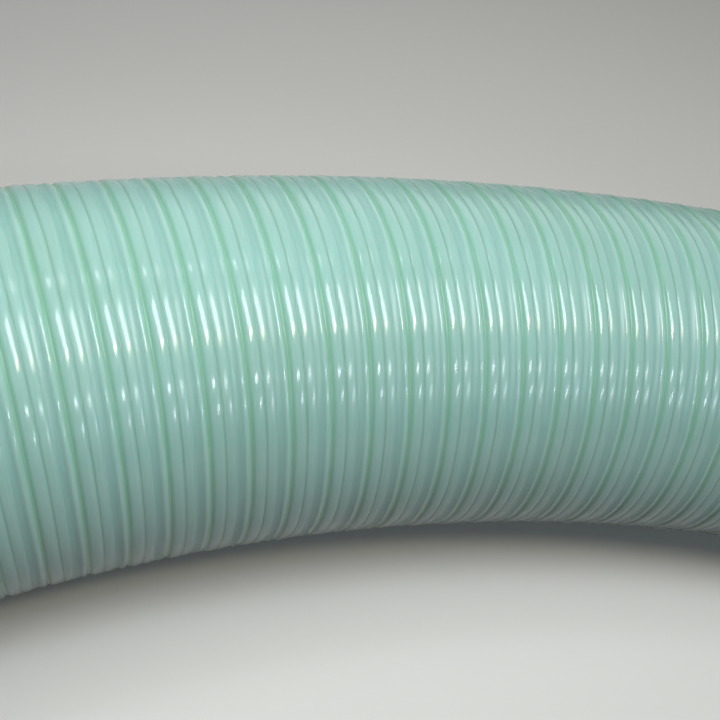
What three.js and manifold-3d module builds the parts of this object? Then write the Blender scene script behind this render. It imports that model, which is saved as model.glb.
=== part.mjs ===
// A cut length of slurry hose: one helically wound PVC tube, ribbed outside and smooth inside.
// It lies on the floor with the gentle bend that it keeps from its coil.
// Millimetres, +Z up. The bend lies in a level plane and its centre is on the -Y side.
// The hose runs along X and its right-handed winding starts at the -X end.

import * as THREE from 'three';
import { mergeVertices } from 'three/addons/utils/BufferGeometryUtils.js';
import Module from 'manifold-3d';

// Driving dimensions

const BORE_RADIUS = 76; // 152 mm bore, the six-inch size
const HOSE_LENGTH = 1000; // along the axis, as sold by the metre
const BEND_RADIUS = 850; // from the bend's centre to the hose's axis

// The strip that is wound into the wall has five features across it.
// Each has its width, and the thickness of the wall at its middle.
const GROOVE_WIDTH = 2.0;
const GROOVE_WALL = 7.1;
const WIDE_RIB_WIDTH = 5.25;
const WIDE_RIB_WALL = 8.0;
const NARROW_RIB_WIDTH = 4.65;
const NARROW_RIB_WALL = 7.85;
const BAND_WIDTH = 3.2;
const BAND_WALL = 7.4;
const RIDGE_WIDTH = 2.4;
const RIDGE_WALL = 7.8;

const SIDES = 16; // facets round the hose, a multiple of four so that corners lie at its top and bottom
const BORE_STEPS = 20; // straight stretches that the bore is made of
const SPARE_TURNS = 2; // wound past each end before the hose is cut
const MERGE_DISTANCE = 0.001; // points nearer than this are one point

// Worked out from them

const STRIP = [
  { width: GROOVE_WIDTH, wall: GROOVE_WALL },
  { width: WIDE_RIB_WIDTH, wall: WIDE_RIB_WALL },
  { width: NARROW_RIB_WIDTH, wall: NARROW_RIB_WALL },
  { width: BAND_WIDTH, wall: BAND_WALL },
  { width: RIDGE_WIDTH, wall: RIDGE_WALL },
];
const PITCH = STRIP.reduce((sum, feature) => sum + feature.width, 0);
const GROOVE_RADIUS = BORE_RADIUS + GROOVE_WALL;
const HOSE_RADIUS = BORE_RADIUS + Math.max(...STRIP.map((feature) => feature.wall));
const END_ANGLE = HOSE_LENGTH / 2 / BEND_RADIUS;

// Points of the strip's outer side, from its groove: the distance across it and the radius there.
function stripProfile() {
  let start = -STRIP[0].width / 2;
  return STRIP.map((feature) => {
    const across = start + feature.width / 2;
    start += feature.width;
    return { across, radius: BORE_RADIUS + feature.wall };
  });
}

// The place of a point on the bent hose. Along is measured on the axis from the middle of the hose.
// Angle 0 faces the bend's centre and a quarter turn faces the floor.
function onBend(along, radius, angle) {
  const turn = along / BEND_RADIUS;
  const reach = BEND_RADIUS - radius * Math.cos(angle);
  return new THREE.Vector3(
    reach * Math.sin(turn),
    reach * Math.cos(turn) - BEND_RADIUS,
    -radius * Math.sin(angle),
  );
}

// The wound outside, solid and a little too long. Lines of the strip run round the hose as true helices.
// Beyond the spare turns the surface shrinks to a plain ring, which closes each end.
function woundBlank() {
  const profile = stripProfile();
  const halfLength = HOSE_LENGTH / 2 + PITCH;
  const turns = Math.ceil(halfLength / PITCH) + SPARE_TURNS;
  const rows = 2 * turns * profile.length;
  const positions = [];
  const indices = [];

  const addPoint = (along, radius, angle) => {
    positions.push(...onBend(along, radius, angle).toArray());
    return positions.length / 3 - 1;
  };
  const angleOf = (side) => (2 * Math.PI * side) / SIDES;
  const endRing = (along) =>
    Array.from({ length: SIDES }, (_, side) => addPoint(along, GROOVE_RADIUS, angleOf(side)));
  const nearRing = endRing(-halfLength);
  const farRing = endRing(halfLength);

  const grid = Array.from({ length: rows }, (_, row) =>
    Array.from({ length: SIDES }, (_, side) => {
      const { across, radius } = profile[row % profile.length];
      const turn = Math.floor(row / profile.length) - turns + side / SIDES;
      const along = turn * PITCH + across;
      if (along <= -halfLength) return nearRing[side];
      if (along >= halfLength) return farRing[side];
      return addPoint(along, radius, angleOf(side));
    }),
  );
  // After a whole turn a line of the strip has moved on by one pitch.
  const at = (row, side) => {
    const wrapped = row + (side === SIDES ? profile.length : 0);
    const inside = side % SIDES;
    if (wrapped < 0) return nearRing[inside];
    if (wrapped >= rows) return farRing[inside];
    return grid[wrapped][inside];
  };
  const addFace = (a, b, c) => {
    if (a !== b && b !== c && c !== a) indices.push(a, b, c);
  };
  for (let row = -profile.length; row < rows; row++) {
    for (let side = 0; side < SIDES; side++) {
      const corners = [at(row, side), at(row, side + 1), at(row + 1, side + 1), at(row + 1, side)];
      addFace(corners[0], corners[1], corners[2]);
      addFace(corners[0], corners[2], corners[3]);
    }
  }
  const nearCentre = addPoint(-halfLength, 0, 0);
  const farCentre = addPoint(halfLength, 0, 0);
  for (let side = 0; side < SIDES; side++) {
    const next = (side + 1) % SIDES;
    addFace(nearCentre, nearRing[next], nearRing[side]);
    addFace(farCentre, farRing[side], farRing[next]);
  }
  return makeGeometry(positions, indices);
}

function makeGeometry(positions, indices) {
  const geometry = new THREE.BufferGeometry();
  geometry.setAttribute('position', new THREE.Float32BufferAttribute(positions, 3));
  geometry.setIndex(indices);
  return geometry;
}

// The axis of the hose as a curve, longer than the hose by one pitch at each end.
class HoseAxis extends THREE.Curve {
  getPoint(share, target = new THREE.Vector3()) {
    const along = (share - 0.5) * (HOSE_LENGTH + 2 * PITCH);
    return target.copy(onBend(along, 0, 0));
  }
}

// What the bore takes out of the blank. An arc is drawn with twice as many facets as curveSegments says,
// so half of SIDES sets the bore's corners below the outside's and the wall keeps its thickness all round.
function boreCutter() {
  const circle = new THREE.Shape();
  circle.absarc(0, 0, BORE_RADIUS, 0, 2 * Math.PI, false);
  return new THREE.ExtrudeGeometry(circle, {
    curveSegments: SIDES / 2,
    steps: BORE_STEPS,
    extrudePath: new HoseAxis(),
  });
}

// The sector between the two square cuts. Its point is the centre of the bend.
function lengthSector() {
  const reach = BEND_RADIUS + 2 * HOSE_RADIUS;
  const sector = new THREE.Shape();
  sector.moveTo(0, -BEND_RADIUS);
  sector.lineTo(reach * Math.sin(END_ANGLE), reach * Math.cos(END_ANGLE) - BEND_RADIUS);
  sector.absarc(0, -BEND_RADIUS, reach, Math.PI / 2 - END_ANGLE, Math.PI / 2 + END_ANGLE, false);
  sector.closePath();
  const depth = 4 * HOSE_RADIUS;
  const geometry = new THREE.ExtrudeGeometry(sector, { depth, bevelEnabled: false });
  return geometry.translate(0, 0, -depth / 2);
}

// A closed geometry as a solid that can be joined and cut.
function toSolid(wasm, geometry) {
  const bare = new THREE.BufferGeometry();
  bare.setAttribute('position', geometry.getAttribute('position'));
  if (geometry.index) bare.setIndex(geometry.index);
  const merged = mergeVertices(bare, MERGE_DISTANCE);
  return new wasm.Manifold(
    new wasm.Mesh({
      numProp: 3,
      vertProperties: new Float32Array(merged.getAttribute('position').array),
      triVerts: new Uint32Array(merged.index.array),
    }),
  );
}

// A solid as a geometry that can be drawn, standing on the floor and centred over the origin.
function toGeometry(solid) {
  const mesh = solid.getMesh();
  const geometry = makeGeometry(mesh.vertProperties, Array.from(mesh.triVerts));
  geometry.computeBoundingBox();
  const { min, max } = geometry.boundingBox;
  geometry.translate(-(min.x + max.x) / 2, -(min.y + max.y) / 2, -min.z);
  const faceted = geometry.toNonIndexed();
  faceted.computeVertexNormals();
  return faceted;
}

function cutHose(wasm) {
  const blank = toSolid(wasm, woundBlank());
  const bored = blank.subtract(toSolid(wasm, boreCutter()));
  return toGeometry(bored.intersect(toSolid(wasm, lengthSector())));
}

const wasm = await Module();
wasm.setup();

const translucentGreenPvc = new THREE.MeshStandardMaterial({
  color: 0x8fc6b8,
  roughness: 0.25,
  metalness: 0,
});
const hose = new THREE.Mesh(cutHose(wasm), translucentGreenPvc);
hose.name = 'slurry_hose';

const slurryHose = new THREE.Group();
slurryHose.add(hose);

export default slurryHose;
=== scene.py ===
# %% [markdown]
# A slurry hose, modelled and lit
#
# The object is a cut length of six-inch slurry hose. It is made by winding one extruded strip of flexible PVC
# round a mandrel and welding each turn to the one before, so its ribs are a long screw thread.
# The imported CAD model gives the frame: its size, its bend and where it lies.
# Blender adds the rounded section of the strip, the translucent plastic, the camera and the light.

# %% Load the frame
import math

import bmesh
import bpy
from mathutils import Matrix, Vector, noise


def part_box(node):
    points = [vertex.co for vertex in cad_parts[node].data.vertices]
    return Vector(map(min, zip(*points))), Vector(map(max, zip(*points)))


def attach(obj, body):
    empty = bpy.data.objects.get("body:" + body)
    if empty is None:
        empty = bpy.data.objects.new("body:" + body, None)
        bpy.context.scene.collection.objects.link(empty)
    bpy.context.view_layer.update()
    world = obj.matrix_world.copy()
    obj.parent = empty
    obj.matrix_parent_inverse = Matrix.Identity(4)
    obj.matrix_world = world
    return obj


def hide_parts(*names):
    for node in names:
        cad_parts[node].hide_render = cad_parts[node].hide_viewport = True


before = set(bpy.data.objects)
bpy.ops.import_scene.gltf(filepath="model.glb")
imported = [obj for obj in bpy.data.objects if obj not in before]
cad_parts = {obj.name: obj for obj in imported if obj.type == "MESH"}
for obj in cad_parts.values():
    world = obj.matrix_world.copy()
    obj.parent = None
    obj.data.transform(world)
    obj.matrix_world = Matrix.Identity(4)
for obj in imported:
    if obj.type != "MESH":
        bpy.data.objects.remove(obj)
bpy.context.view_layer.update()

# %% [markdown]
# The sizes that the hose is made to
#
# A hose maker's data sheet gives the bore, the outside diameter and the pitch of the winding.
# The bore, the length and the bend are repeated here, in millimetres. The outside radius is read from the
# frame, and so is the place of the bend's centre. A hose of this kind keeps some of the bend of its coil.

# %% Name the hose's own sizes
MM = 0.001

BORE_RADIUS = 76
HOSE_LENGTH = 1000
BEND_RADIUS = 850

hose_low, hose_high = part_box("slurry_hose")
HOSE_RADIUS = (hose_high.z - hose_low.z) / 2 / MM
AXIS_HEIGHT = hose_low.z / MM + HOSE_RADIUS
BEND_CENTRE_Y = hose_high.y / MM - HOSE_RADIUS - BEND_RADIUS
END_ANGLE = HOSE_LENGTH / 2 / BEND_RADIUS
print("outside radius:", round(HOSE_RADIUS, 1), "mm, axis", round(AXIS_HEIGHT, 1), "mm above the floor")


def on_bend(along, radius, angle):
    """A point of the bent hose in metres. Angle 0 faces the bend's centre, a quarter turn faces the floor."""
    turn = along / BEND_RADIUS
    reach = BEND_RADIUS - radius * math.cos(angle)
    x = reach * math.sin(turn)
    y = BEND_CENTRE_Y + reach * math.cos(turn)
    z = AXIS_HEIGHT - radius * math.sin(angle)
    return Vector((x, y, z)) * MM


# %% [markdown]
# The camera
#
# The photograph was taken from close by: the turns on the left are larger than those on the right, and the
# grooves curve. A camera that fits those curves stands 43 cm from the hose, looks down at 46 degrees and is
# rolled by 16. It comes first, so that every later choice can be judged through it.

# %% Place the camera
EYE = Vector((-121.4, -209.9, 392.4)) * MM
AIM = Vector((1.4, 59.8, 84.0)) * MM
ROLL = math.radians(16.3)
LENS = 44.43
NEAREST_SEEN = 10 * MM

camera = bpy.data.objects.new("camera", bpy.data.cameras.new("camera"))
bpy.context.scene.collection.objects.link(camera)
bpy.context.scene.camera = camera
camera.data.lens = LENS
camera.data.clip_start = NEAREST_SEEN
camera.rotation_mode = "QUATERNION"
camera.location = EYE
facing = (AIM - EYE).to_track_quat("-Z", "Y")
camera.rotation_quaternion = facing @ Matrix.Rotation(ROLL, 3, "Z").to_quaternion()
print("camera distance:", round((AIM - EYE).length / MM), "mm")

# %% [markdown]
# The section of the strip
#
# Across one pitch the strip has a soft groove where it is welded to the last turn, a wide rib, a narrow rib,
# a flat band and a thin ridge. Each has its width and the thickness of the wall at its middle.
# A rib could be drawn with a bump map, but a silhouette and a deep groove need real geometry.
# The crown of each arch is round and its flanks run out to the foot, as in a strip that cooled while soft.

# %% Draw the section of the strip
GROOVE = {"width": 2.0, "wall": 7.1}
WIDE_RIB = {"width": 5.25, "wall": 8.0, "foot": 7.48, "steps": 8}
NARROW_RIB = {"width": 4.65, "wall": 7.83, "foot": 7.48, "steps": 7}
BAND = {"width": 3.2, "wall": 7.36}
RIDGE = {"width": 2.4, "wall": 7.8, "foot": 7.5, "steps": 4}
GROOVE_FLOOR_SHARE = 0.3
BAND_LOW_SHARE = 0.12
FLANK_POWER = 1.25

# where the features meet, in mm from the middle of the groove
RIB_START = GROOVE["width"] / 2
CREASE = RIB_START + WIDE_RIB["width"]
BAND_START = CREASE + NARROW_RIB["width"]
RIDGE_START = BAND_START + BAND["width"]
RIDGE_END = RIDGE_START + RIDGE["width"]
PITCH = RIDGE_END + GROOVE["width"] / 2


def arch(start, rib):
    """Points over a rib, as (distance across the strip, thickness of the wall). With a flank power of 1
    the arch would be half an ellipse."""
    half = rib["width"] / 2
    rise = rib["wall"] - rib["foot"]
    points = []
    for step in range(rib["steps"] + 1):
        turn = math.pi * step / rib["steps"]
        lift = max(0, math.sin(turn)) ** FLANK_POWER
        points.append((start + half * (1 - math.cos(turn)), rib["foot"] + rise * lift))
    return points


def strip_section():
    """One pitch of the strip, from the middle of its groove."""
    floor_half = GROOVE["width"] * GROOVE_FLOOR_SHARE / 2
    points = [(floor_half, GROOVE["wall"])]
    points += arch(RIB_START, WIDE_RIB)
    points += arch(CREASE, NARROW_RIB)[1:]
    points += [(BAND_START + BAND["width"] * BAND_LOW_SHARE, BAND["wall"])]
    points += arch(RIDGE_START, RIDGE)
    points += [(PITCH - floor_half, GROOVE["wall"])]
    return points


section = strip_section()
print("pitch:", round(PITCH, 2), "mm,", len(section), "points across it")

# %% [markdown]
# Winding the strip
#
# A screw modifier would make a straight thread, which then has to be bent by a curve. Here the bent thread is
# written down at once: every point of the section goes round the hose and moves on by one pitch each turn.
# The mesh's rows follow the real strip, so the grooves stay sharp with few faces.
# The winding map holds two numbers: how far round the hose a point is, and how many pitches along.

# %% Wind the outside and the bore
SIDES = 64
SPARE_TURNS = 2
WAVE_HEIGHT = 0.06
WAVE_LENGTH = 30
TURNS = math.ceil(HOSE_LENGTH / 2 / PITCH) + SPARE_TURNS


def waviness(place):
    """How far the warm strip sagged or bulged as it was wound, in millimetres."""
    return WAVE_HEIGHT * noise.noise(place / (WAVE_LENGTH * MM))


def strip_rows(points):
    """Every turn of every line of the strip, as (pitches from the middle of the hose, radius)."""
    return [
        (turn + across / PITCH, BORE_RADIUS + wall)
        for turn in range(-TURNS, TURNS)
        for across, wall in points
    ]


def wound_ring(mesh, pitches, radius, wavy):
    """One turn of one line of the strip, as new vertices."""
    ring = []
    for side in range(SIDES):
        share = side / SIDES
        along = (pitches + share) * PITCH
        place = on_bend(along, radius, 2 * math.pi * share)
        if wavy:
            place = on_bend(along, radius + waviness(place), 2 * math.pi * share)
        ring.append(mesh.verts.new(place))
    return ring


def wind(mesh, points, wavy, outward):
    """Adds a wound surface to a bmesh. Its rows overrun both ends, to be cut there."""
    winding = mesh.loops.layers.uv.verify()
    rows = strip_rows(points)
    rings = [wound_ring(mesh, pitches, radius, wavy) for pitches, radius in rows]

    def corner(row, side):
        """A vertex of a row. After a whole turn the row goes on in the one that is a pitch further."""
        return rings[row + len(points)][0] if side == SIDES else rings[row][side]

    for row in range(len(rows) - len(points) - 1):
        low = rows[row][0]
        high = rows[row + 1][0]
        for side in range(SIDES):
            corners = [
                (corner(row, side), side, low),
                (corner(row, side + 1), side + 1, low),
                (corner(row + 1, side + 1), side + 1, high),
                (corner(row + 1, side), side, high),
            ]
            if not outward:
                corners.reverse()
            face = mesh.faces.new([vertex for vertex, _, _ in corners])
            face.smooth = True
            for loop, (_, round_steps, pitches) in zip(face.loops, corners):
                loop[winding].uv = (round_steps / SIDES, pitches)


body = bmesh.new()
wind(body, section, wavy=True, outward=True)
wind(body, [(0, 0)], wavy=False, outward=False)
print("wound faces:", len(body.faces))

# %% [markdown]
# Cutting the ends
#
# Stock hose is cut square with a saw or a knife. Both surfaces are cut by a plane through the bend's centre,
# and the ring between the two cut edges is filled. The edges are marked sharp, because smooth shading would
# otherwise round a cut that is crisp on the real thing.

# %% Cut both ends square and close the wall
CUT_TOLERANCE = 1e-6
WELD_DISTANCE = 1e-6
RIM_TOLERANCE = 1e-5
CUT_FACE_PITCHES = 0.7


def near_plane(edge, centre, normal):
    """Whether an edge lies in the plane of a cut."""
    return all(abs((vertex.co - centre).dot(normal)) < RIM_TOLERANCE for vertex in edge.verts)


def cut_end(mesh, side):
    """Cuts the mesh at one end of the hose, -1 or +1, and fills the ring of the wall there."""
    centre = Vector((0, BEND_CENTRE_Y, AXIS_HEIGHT)) * MM
    normal = Vector((side * math.cos(END_ANGLE), -math.sin(END_ANGLE), 0))
    everything = mesh.verts[:] + mesh.edges[:] + mesh.faces[:]
    cut = bmesh.ops.bisect_plane(
        mesh, geom=everything, dist=CUT_TOLERANCE, plane_co=centre, plane_no=normal, clear_outer=True
    )
    cut_points = [item for item in cut["geom_cut"] if isinstance(item, bmesh.types.BMVert)]
    bmesh.ops.remove_doubles(mesh, verts=cut_points, dist=WELD_DISTANCE)
    rim = [edge for edge in mesh.edges if edge.is_boundary and near_plane(edge, centre, normal)]
    filled = bmesh.ops.triangle_fill(mesh, edges=rim, use_beauty=True, normal=normal)
    faces = [item for item in filled["geom"] if isinstance(item, bmesh.types.BMFace)]
    winding = mesh.loops.layers.uv.verify()
    for face in faces:
        face.smooth = False
        for loop in face.loops:
            loop[winding].uv = (0, CUT_FACE_PITCHES)
    for edge in rim:
        if edge.is_valid:
            edge.smooth = False
    return len(faces)


for side in (-1, 1):
    print("faces in the cut end:", cut_end(body, side))
bmesh.ops.recalc_face_normals(body, faces=body.faces[:])
open_edges = sum(not edge.is_manifold for edge in body.edges)
print("edges left open:", open_edges)

# %% [markdown]
# One piece in the frame
#
# The wound mesh stands for the CAD solid: it rides on the same body, and the solid is hidden.

# %% Make the hose's object
hose_mesh = bpy.data.meshes.new("wound_pvc_hose")
body.to_mesh(hose_mesh)
body.free()
hose_mesh.uv_layers[0].name = "winding"
hose = bpy.data.objects.new("wound_pvc_hose", hose_mesh)
bpy.context.scene.collection.objects.link(hose)
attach(hose, "root")
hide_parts("slurry_hose")
print("hose triangles:", sum(len(face.vertices) - 2 for face in hose_mesh.polygons))

# %% [markdown]
# Tools for materials
#
# Colours are written as the hex values that a colour picker shows. Blender's nodes want linear values,
# so one function turns one into the other. One more function adds any node with its settings and links.

# %% Define the material tools
def linear(hex_colour):
    """An sRGB hex colour as linear red, green, blue and alpha."""
    channels = [int(hex_colour[at:at + 2], 16) / 255 for at in (1, 3, 5)]
    return [c / 12.92 if c <= 0.04045 else ((c + 0.055) / 1.055) ** 2.4 for c in channels] + [1]


def node(tree, kind, settings=None, **inputs):
    """Adds a node. Settings are its own options. Inputs are values or other nodes' sockets, by socket name,
    and _0 is the first input of a node whose sockets share one name."""
    made = tree.nodes.new(kind)
    for name, value in (settings or {}).items():
        setattr(made, name, value)
    for name, value in inputs.items():
        by_number = name[0] == "_" and name[1:].isdigit()
        socket = made.inputs[int(name[1:])] if by_number else made.inputs[name.replace("_", " ")]
        if isinstance(value, bpy.types.NodeSocket):
            tree.links.new(value, socket)
        else:
            socket.default_value = value
    return made


print("middle grey in linear values:", [round(value, 3) for value in linear("#808080")])

# %% [markdown]
# Flexible PVC, extruded and wound
#
# Plasticised PVC with a little green pigment lets light a few millimetres in and scatters it, so shadows in
# the grooves fill with a purer green. That calls for subsurface scattering and not for glass.
# The surface left a polished die, so it is glossy. Its index of refraction is about 1.53.
# The colours differ across the strip because its wall does: thick ribs look milky and pale, and the thin weld
# in the groove looks green. The groove and the creases between the ribs are also painted darker, as painted
# shade.
# A picture could hold them, but a ramp over the winding map is sharp at any size.

# %% Choose the colours and the gloss across the strip
# the groove's own greener colour, darkened with painted shade
WELD_GREEN_AND_SHADE = linear("#88bba5")
RIB_MINT = linear("#9cc4bb")
# painted shade: the crease between the two ribs is coloured darker than the ribs
CREASE_PAINTED_SHADE = linear("#8ab5a8")
BAND_TEAL = linear("#92bdb4")
RIDGE_MINT = linear("#9fc6bd")

DULL_WELD = (0.3, 0.3, 0.3, 1)
GLOSSY_RIB = (0.13, 0.13, 0.13, 1)
DULLER_RIB = (0.18, 0.18, 0.18, 1)
DULL_BAND = (0.34, 0.34, 0.34, 1)

# how far from the edge of a feature its colour or gloss is reached, in mm
WELD_HALF = 0.4
RIB_INSET = 1.2
CREASE_FADE = 1.0
BAND_INSET = 0.3
BAND_END_INSET = 0.2
RIDGE_INSET = 1.0
RIDGE_END_FADE = 0.6
POLISH_INSET = 0.5
DULLING_START = 1.0
RIDGE_POLISH_INSET = 0.8
RIDGE_POLISH_END = 0.3


def colour_stops():
    """Thick ribs look pale. The weld in the groove is greener and darker, partly its own colour and partly
    painted shade, and the creases are darker by painted shade.
    """
    return [
        # painted shade in the groove, on top of the weld's own green
        (WELD_HALF, WELD_GREEN_AND_SHADE),
        (RIB_START + RIB_INSET, RIB_MINT),
        (CREASE - CREASE_FADE, RIB_MINT),
        # painted shade in the crease between the two ribs
        (CREASE, CREASE_PAINTED_SHADE),
        (CREASE + CREASE_FADE, RIB_MINT),
        (BAND_START - RIB_INSET, RIB_MINT),
        (BAND_START + BAND_INSET, BAND_TEAL),
        (RIDGE_START - BAND_END_INSET, BAND_TEAL),
        (RIDGE_START + RIDGE_INSET, RIDGE_MINT),
        (RIDGE_END - RIDGE_END_FADE, RIDGE_MINT),
        (RIDGE_END + RIDGE_END_FADE, WELD_GREEN_AND_SHADE),
    ]


def gloss_stops():
    """The wide rib and the ridge are polished by handling, and the sunken band is not."""
    return [
        (0, DULL_WELD),
        (RIB_START + POLISH_INSET, GLOSSY_RIB),
        (CREASE - POLISH_INSET, GLOSSY_RIB),
        (CREASE + POLISH_INSET, DULLER_RIB),
        (BAND_START - DULLING_START, DULLER_RIB),
        (BAND_START, DULL_BAND),
        (RIDGE_START, DULL_BAND),
        (RIDGE_START + RIDGE_POLISH_INSET, GLOSSY_RIB),
        (RIDGE_END - RIDGE_POLISH_END, GLOSSY_RIB),
        (PITCH, DULL_WELD),
    ]


def strip_ramp(tree, across, stops):
    """A colour for each place across the strip. Stops are (place in mm from the groove's middle, colour)."""
    ramp = node(tree, "ShaderNodeValToRGB", Fac=across)
    elements = ramp.color_ramp.elements
    while len(elements) < len(stops):
        elements.new(1)
    for element, (place, colour) in zip(elements, stops):
        element.position = place / PITCH
        element.color = colour
    return ramp.outputs["Color"]


print("stops across the strip:", len(colour_stops()), "of colour,", len(gloss_stops()), "of gloss")

# %% [markdown]
# A map of the unrolled strip
#
# Marks that the winding left run along the strip and not along the hose. So the noise for them is laid on the
# strip as if it were unrolled: its length is counted in turns round the hose, and its width in the pitch.

# %% Lay noise on the unrolled strip
TURN_LENGTH = 2 * math.pi * HOSE_RADIUS


def strip_place(tree):
    """Two sockets: the share of the pitch across the strip, and the place on the unrolled strip in mm."""
    winding = node(tree, "ShaderNodeUVMap", {"uv_map": "winding"})
    parts = node(tree, "ShaderNodeSeparateXYZ", Vector=winding.outputs[0])
    across = node(tree, "ShaderNodeMath", {"operation": "FRACT"}, _0=parts.outputs["Y"])
    pitches = node(tree, "ShaderNodeMath", {"operation": "FLOOR"}, _0=parts.outputs["Y"])
    turns = node(tree, "ShaderNodeMath", {"operation": "ADD"}, _0=pitches.outputs[0], _1=parts.outputs["X"])
    length = node(tree, "ShaderNodeMath", {"operation": "MULTIPLY"}, _0=turns.outputs[0], _1=TURN_LENGTH)
    width = node(tree, "ShaderNodeMath", {"operation": "MULTIPLY"}, _0=across.outputs[0], _1=PITCH)
    unrolled = node(tree, "ShaderNodeCombineXYZ", X=length.outputs[0], Y=width.outputs[0])
    return across.outputs[0], unrolled.outputs[0]


def strip_noise(tree, unrolled, size, detail):
    """Noise with patches of this size on the strip, as (length, width) in mm."""
    length, width = size
    scaled = node(
        tree, "ShaderNodeVectorMath", {"operation": "MULTIPLY"}, _0=unrolled, _1=(1 / length, 1 / width, 1)
    )
    patches = node(tree, "ShaderNodeTexNoise", Vector=scaled.outputs[0], Scale=1, Detail=detail)
    return patches.outputs["Fac"]


print("one turn of the strip is", round(TURN_LENGTH), "mm long")

# %% [markdown]
# Marks of the making
#
# The die leaves faint lines along the strip, and the soft strip is pulled round the mandrel in small jerks,
# which ripple it. The pigment is not quite evenly mixed, and the polish varies with it.
# All of this is far below the size of a rib, so it goes into colour, gloss and bump and not into the mesh.

# %% Vary the colour, the gloss and the surface
# real die lines are a few tenths of a millimetre apart, and are drawn coarser so that they show
DIE_LINE_SIZE = (45, 0.9)
DIE_LINE_DETAIL = 3
DIE_LINE_HEIGHT = 0.0006
DIE_LINE_SHADE = 0.07
RIPPLE_SIZE = (14, 6)
RIPPLE_DETAIL = 1
RIPPLE_HEIGHT = 0.012
CLOUD_SIZE = 55
CLOUD_DETAIL = 2
CLOUD_HUE = 0.015
CLOUD_SHADE = 0.06
CLOUD_GLOSS = 0.03
UNCHANGED_HUE = 0.5


def uneven_pigment(tree, colour, die_lines, cloud):
    """The colour, lighter and darker by the die lines and by the clouds of pigment."""
    streak = node(
        tree, "ShaderNodeMapRange", Value=die_lines, To_Min=1 - DIE_LINE_SHADE, To_Max=1 + DIE_LINE_SHADE
    )
    streaked = node(tree, "ShaderNodeHueSaturation", Value=streak.outputs[0], Color=colour)
    hue = node(
        tree, "ShaderNodeMapRange",
        Value=cloud, To_Min=UNCHANGED_HUE - CLOUD_HUE, To_Max=UNCHANGED_HUE + CLOUD_HUE,
    )
    shade = node(tree, "ShaderNodeMapRange", Value=cloud, To_Min=1 - CLOUD_SHADE, To_Max=1 + CLOUD_SHADE)
    clouded = node(
        tree, "ShaderNodeHueSaturation", Hue=hue.outputs[0], Value=shade.outputs[0], Color=streaked.outputs[0]
    )
    return clouded.outputs[0]


def uneven_gloss(tree, gloss, cloud):
    """The roughness, a little more or less by the clouds."""
    change = node(tree, "ShaderNodeMapRange", Value=cloud, To_Min=-CLOUD_GLOSS, To_Max=CLOUD_GLOSS)
    return node(tree, "ShaderNodeMath", {"operation": "ADD"}, _0=gloss, _1=change.outputs[0]).outputs[0]


def fine_relief(tree, ripples, die_lines):
    """The direction of the surface, turned by the ripples and then by the die lines."""
    rippled = node(tree, "ShaderNodeBump", Height=ripples, Distance=RIPPLE_HEIGHT * MM, Strength=1)
    lined = node(
        tree, "ShaderNodeBump",
        Height=die_lines, Distance=DIE_LINE_HEIGHT * MM, Strength=1, Normal=rippled.outputs[0],
    )
    return lined.outputs[0]


print("ripples:", RIPPLE_HEIGHT, "mm high, die lines:", DIE_LINE_HEIGHT, "mm high")

# %% [markdown]
# Mixing the plastic
#
# The light goes 1 to 2 mm into the wall before it comes out again, and green light goes furthest.
# Most of the colour comes from that scattering, and the rest from the skin. The numbers that are the same all
# over the hose stand on the shader's own sockets, so that an export keeps them.

# %% Mix the flexible PVC
PVC_IOR = 1.53
SCATTERED_SHARE = 0.85
SCATTER_DEPTH_MM = 1.6
SCATTER_BY_COLOUR = (0.75, 1.0, 0.95)


def flexible_pvc():
    """Flexible PVC that was extruded through a polished die and wound into a hose."""
    material = bpy.data.materials.new("flexible_pvc_extruded")
    material.use_nodes = True
    tree = material.node_tree
    tree.nodes.clear()
    across, unrolled = strip_place(tree)
    ripples = strip_noise(tree, unrolled, RIPPLE_SIZE, RIPPLE_DETAIL)
    die_lines = strip_noise(tree, unrolled, DIE_LINE_SIZE, DIE_LINE_DETAIL)
    place = node(tree, "ShaderNodeTexCoord")
    clouds = node(
        tree, "ShaderNodeTexNoise",
        Vector=place.outputs["Object"], Scale=1 / (CLOUD_SIZE * MM), Detail=CLOUD_DETAIL,
    )
    cloud = clouds.outputs["Fac"]
    colour = strip_ramp(tree, across, colour_stops())
    gloss = strip_ramp(tree, across, gloss_stops())
    pvc = node(
        tree, "ShaderNodeBsdfPrincipled", {"subsurface_method": "RANDOM_WALK"},
        Base_Color=uneven_pigment(tree, colour, die_lines, cloud),
        Roughness=uneven_gloss(tree, gloss, cloud),
        Normal=fine_relief(tree, ripples, die_lines),
        IOR=PVC_IOR,
        Subsurface_Weight=SCATTERED_SHARE,
        Subsurface_Radius=SCATTER_BY_COLOUR,
        Subsurface_Scale=SCATTER_DEPTH_MM * MM,
    )
    node(tree, "ShaderNodeOutputMaterial", Surface=pvc.outputs[0])
    return material


hose_mesh.materials.clear()
hose_mesh.materials.append(flexible_pvc())
print("materials on the hose:", [slot.name for slot in hose.material_slots])

# %% [markdown]
# The floor
#
# A plain pale floor keeps the eye on the hose. It is part of the stage and not of the object.
# It throws no light up at the hose, because the lower side of the hose is dark in the photograph.

# %% Lay the floor
FLOOR_SIZE = 12
FLOOR_PALE = linear("#dfe0dc")
FLOOR_ROUGHNESS = 0.9


def matte_paper():
    """Uncoated backdrop paper."""
    material = bpy.data.materials.new("matte_backdrop_paper")
    material.use_nodes = True
    shader = material.node_tree.nodes["Principled BSDF"]
    shader.inputs["Base Color"].default_value = FLOOR_PALE
    shader.inputs["Roughness"].default_value = FLOOR_ROUGHNESS
    return material


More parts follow.
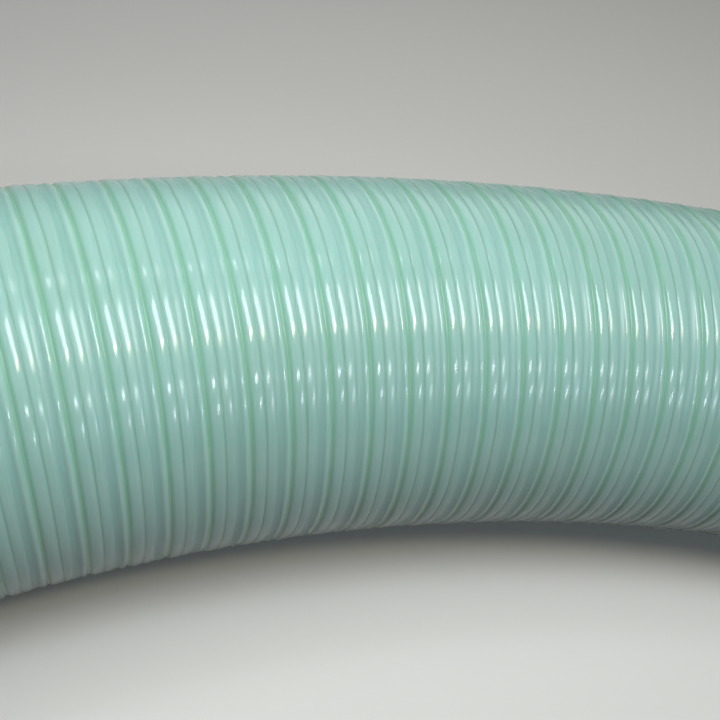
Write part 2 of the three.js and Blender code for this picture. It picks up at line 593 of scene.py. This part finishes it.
def lay_floor():
    """One square of paper, level with the underside of the hose."""
    mesh = bpy.data.meshes.new("floor")
    half = FLOOR_SIZE / 2
    corners = [(-half, -half, 0), (half, -half, 0), (half, half, 0), (-half, half, 0)]
    mesh.from_pydata(corners, [], [(0, 1, 2, 3)])
    mesh.materials.append(matte_paper())
    floor = bpy.data.objects.new("floor", mesh)
    bpy.context.scene.collection.objects.link(floor)
    floor.visible_diffuse = False


lay_floor()
print("floor:", FLOOR_SIZE, "m square")

# %% [markdown]
# The light
#
# The ribs act as small curved mirrors, so each lamp shows as a row of highlights, one on every turn.
# Where a row lies tells where its lamp stood. A soft window high in front makes the long white streaks,
# and small lamps make the rows of short spots below and above them. The main softbox hangs close above the
# left of the view, so its light falls off to the right. It is left out of the reflections, where it would
# cover the other rows.

# %% Hang the lamps
LAMP_DISTANCE = 1.6
CLOSE_DISTANCE = 0.42
ROOM_GREY = linear("#dfe6e6")
ROOM_STRENGTH = 0.02


def hang_lamp(name, heading, height, size, watts, colour="#ffffff", distance=LAMP_DISTANCE, mirrored=True):
    """A rectangular lamp aimed at the middle of the hose. Heading 0 is +Y and 90 is +X, and height is in
    degrees too. The distance is in metres. A lamp that is not mirrored leaves no highlight."""
    lamp = bpy.data.objects.new(name, bpy.data.lights.new(name, "AREA"))
    bpy.context.scene.collection.objects.link(lamp)
    lamp.data.shape = "RECTANGLE"
    lamp.data.size, lamp.data.size_y = size
    lamp.data.energy = watts
    lamp.data.color = linear(colour)[:3]
    lamp.visible_camera = False
    lamp.visible_glossy = mirrored
    turn = math.radians(heading)
    lift = math.radians(height)
    away = Vector((math.sin(turn) * math.cos(lift), math.cos(turn) * math.cos(lift), math.sin(lift)))
    lamp.location = on_bend(0, 0, 0) + away * distance
    lamp.rotation_mode = "QUATERNION"
    lamp.rotation_quaternion = away.to_track_quat("Z", "Y")


hang_lamp("main_softbox", 245, 74, (0.3, 0.3), 1.0, distance=CLOSE_DISTANCE, mirrored=False)
hang_lamp("window", 150, 74.5, (0.5, 0.65), 10.5, "#f6f9ff")
hang_lamp("warm_lamp", 152, 61.5, (0.45, 0.11), 3.4, "#ffeed0")
hang_lamp("upper_fill_lamp", 163, 37.4, (0.4, 0.11), 2.4, "#f2f6ff")
hang_lamp("lower_fill_lamp", 152, 21.5, (0.4, 0.09), 1.7, "#eaf0ff")
hang_lamp("ceiling_lamp", 347, 76, (0.4, 0.15), 1.2, "#f6f9ff")
hang_lamp("back_softbox", 35, 28, (1.6, 0.6), 2, "#fff4ee")

room = bpy.data.worlds.new("room")
bpy.context.scene.world = room
room.use_nodes = True
background = room.node_tree.nodes["Background"]
background.inputs["Color"].default_value = ROOM_GREY
background.inputs["Strength"].default_value = ROOM_STRENGTH
bpy.context.scene.view_settings.view_transform = "Standard"
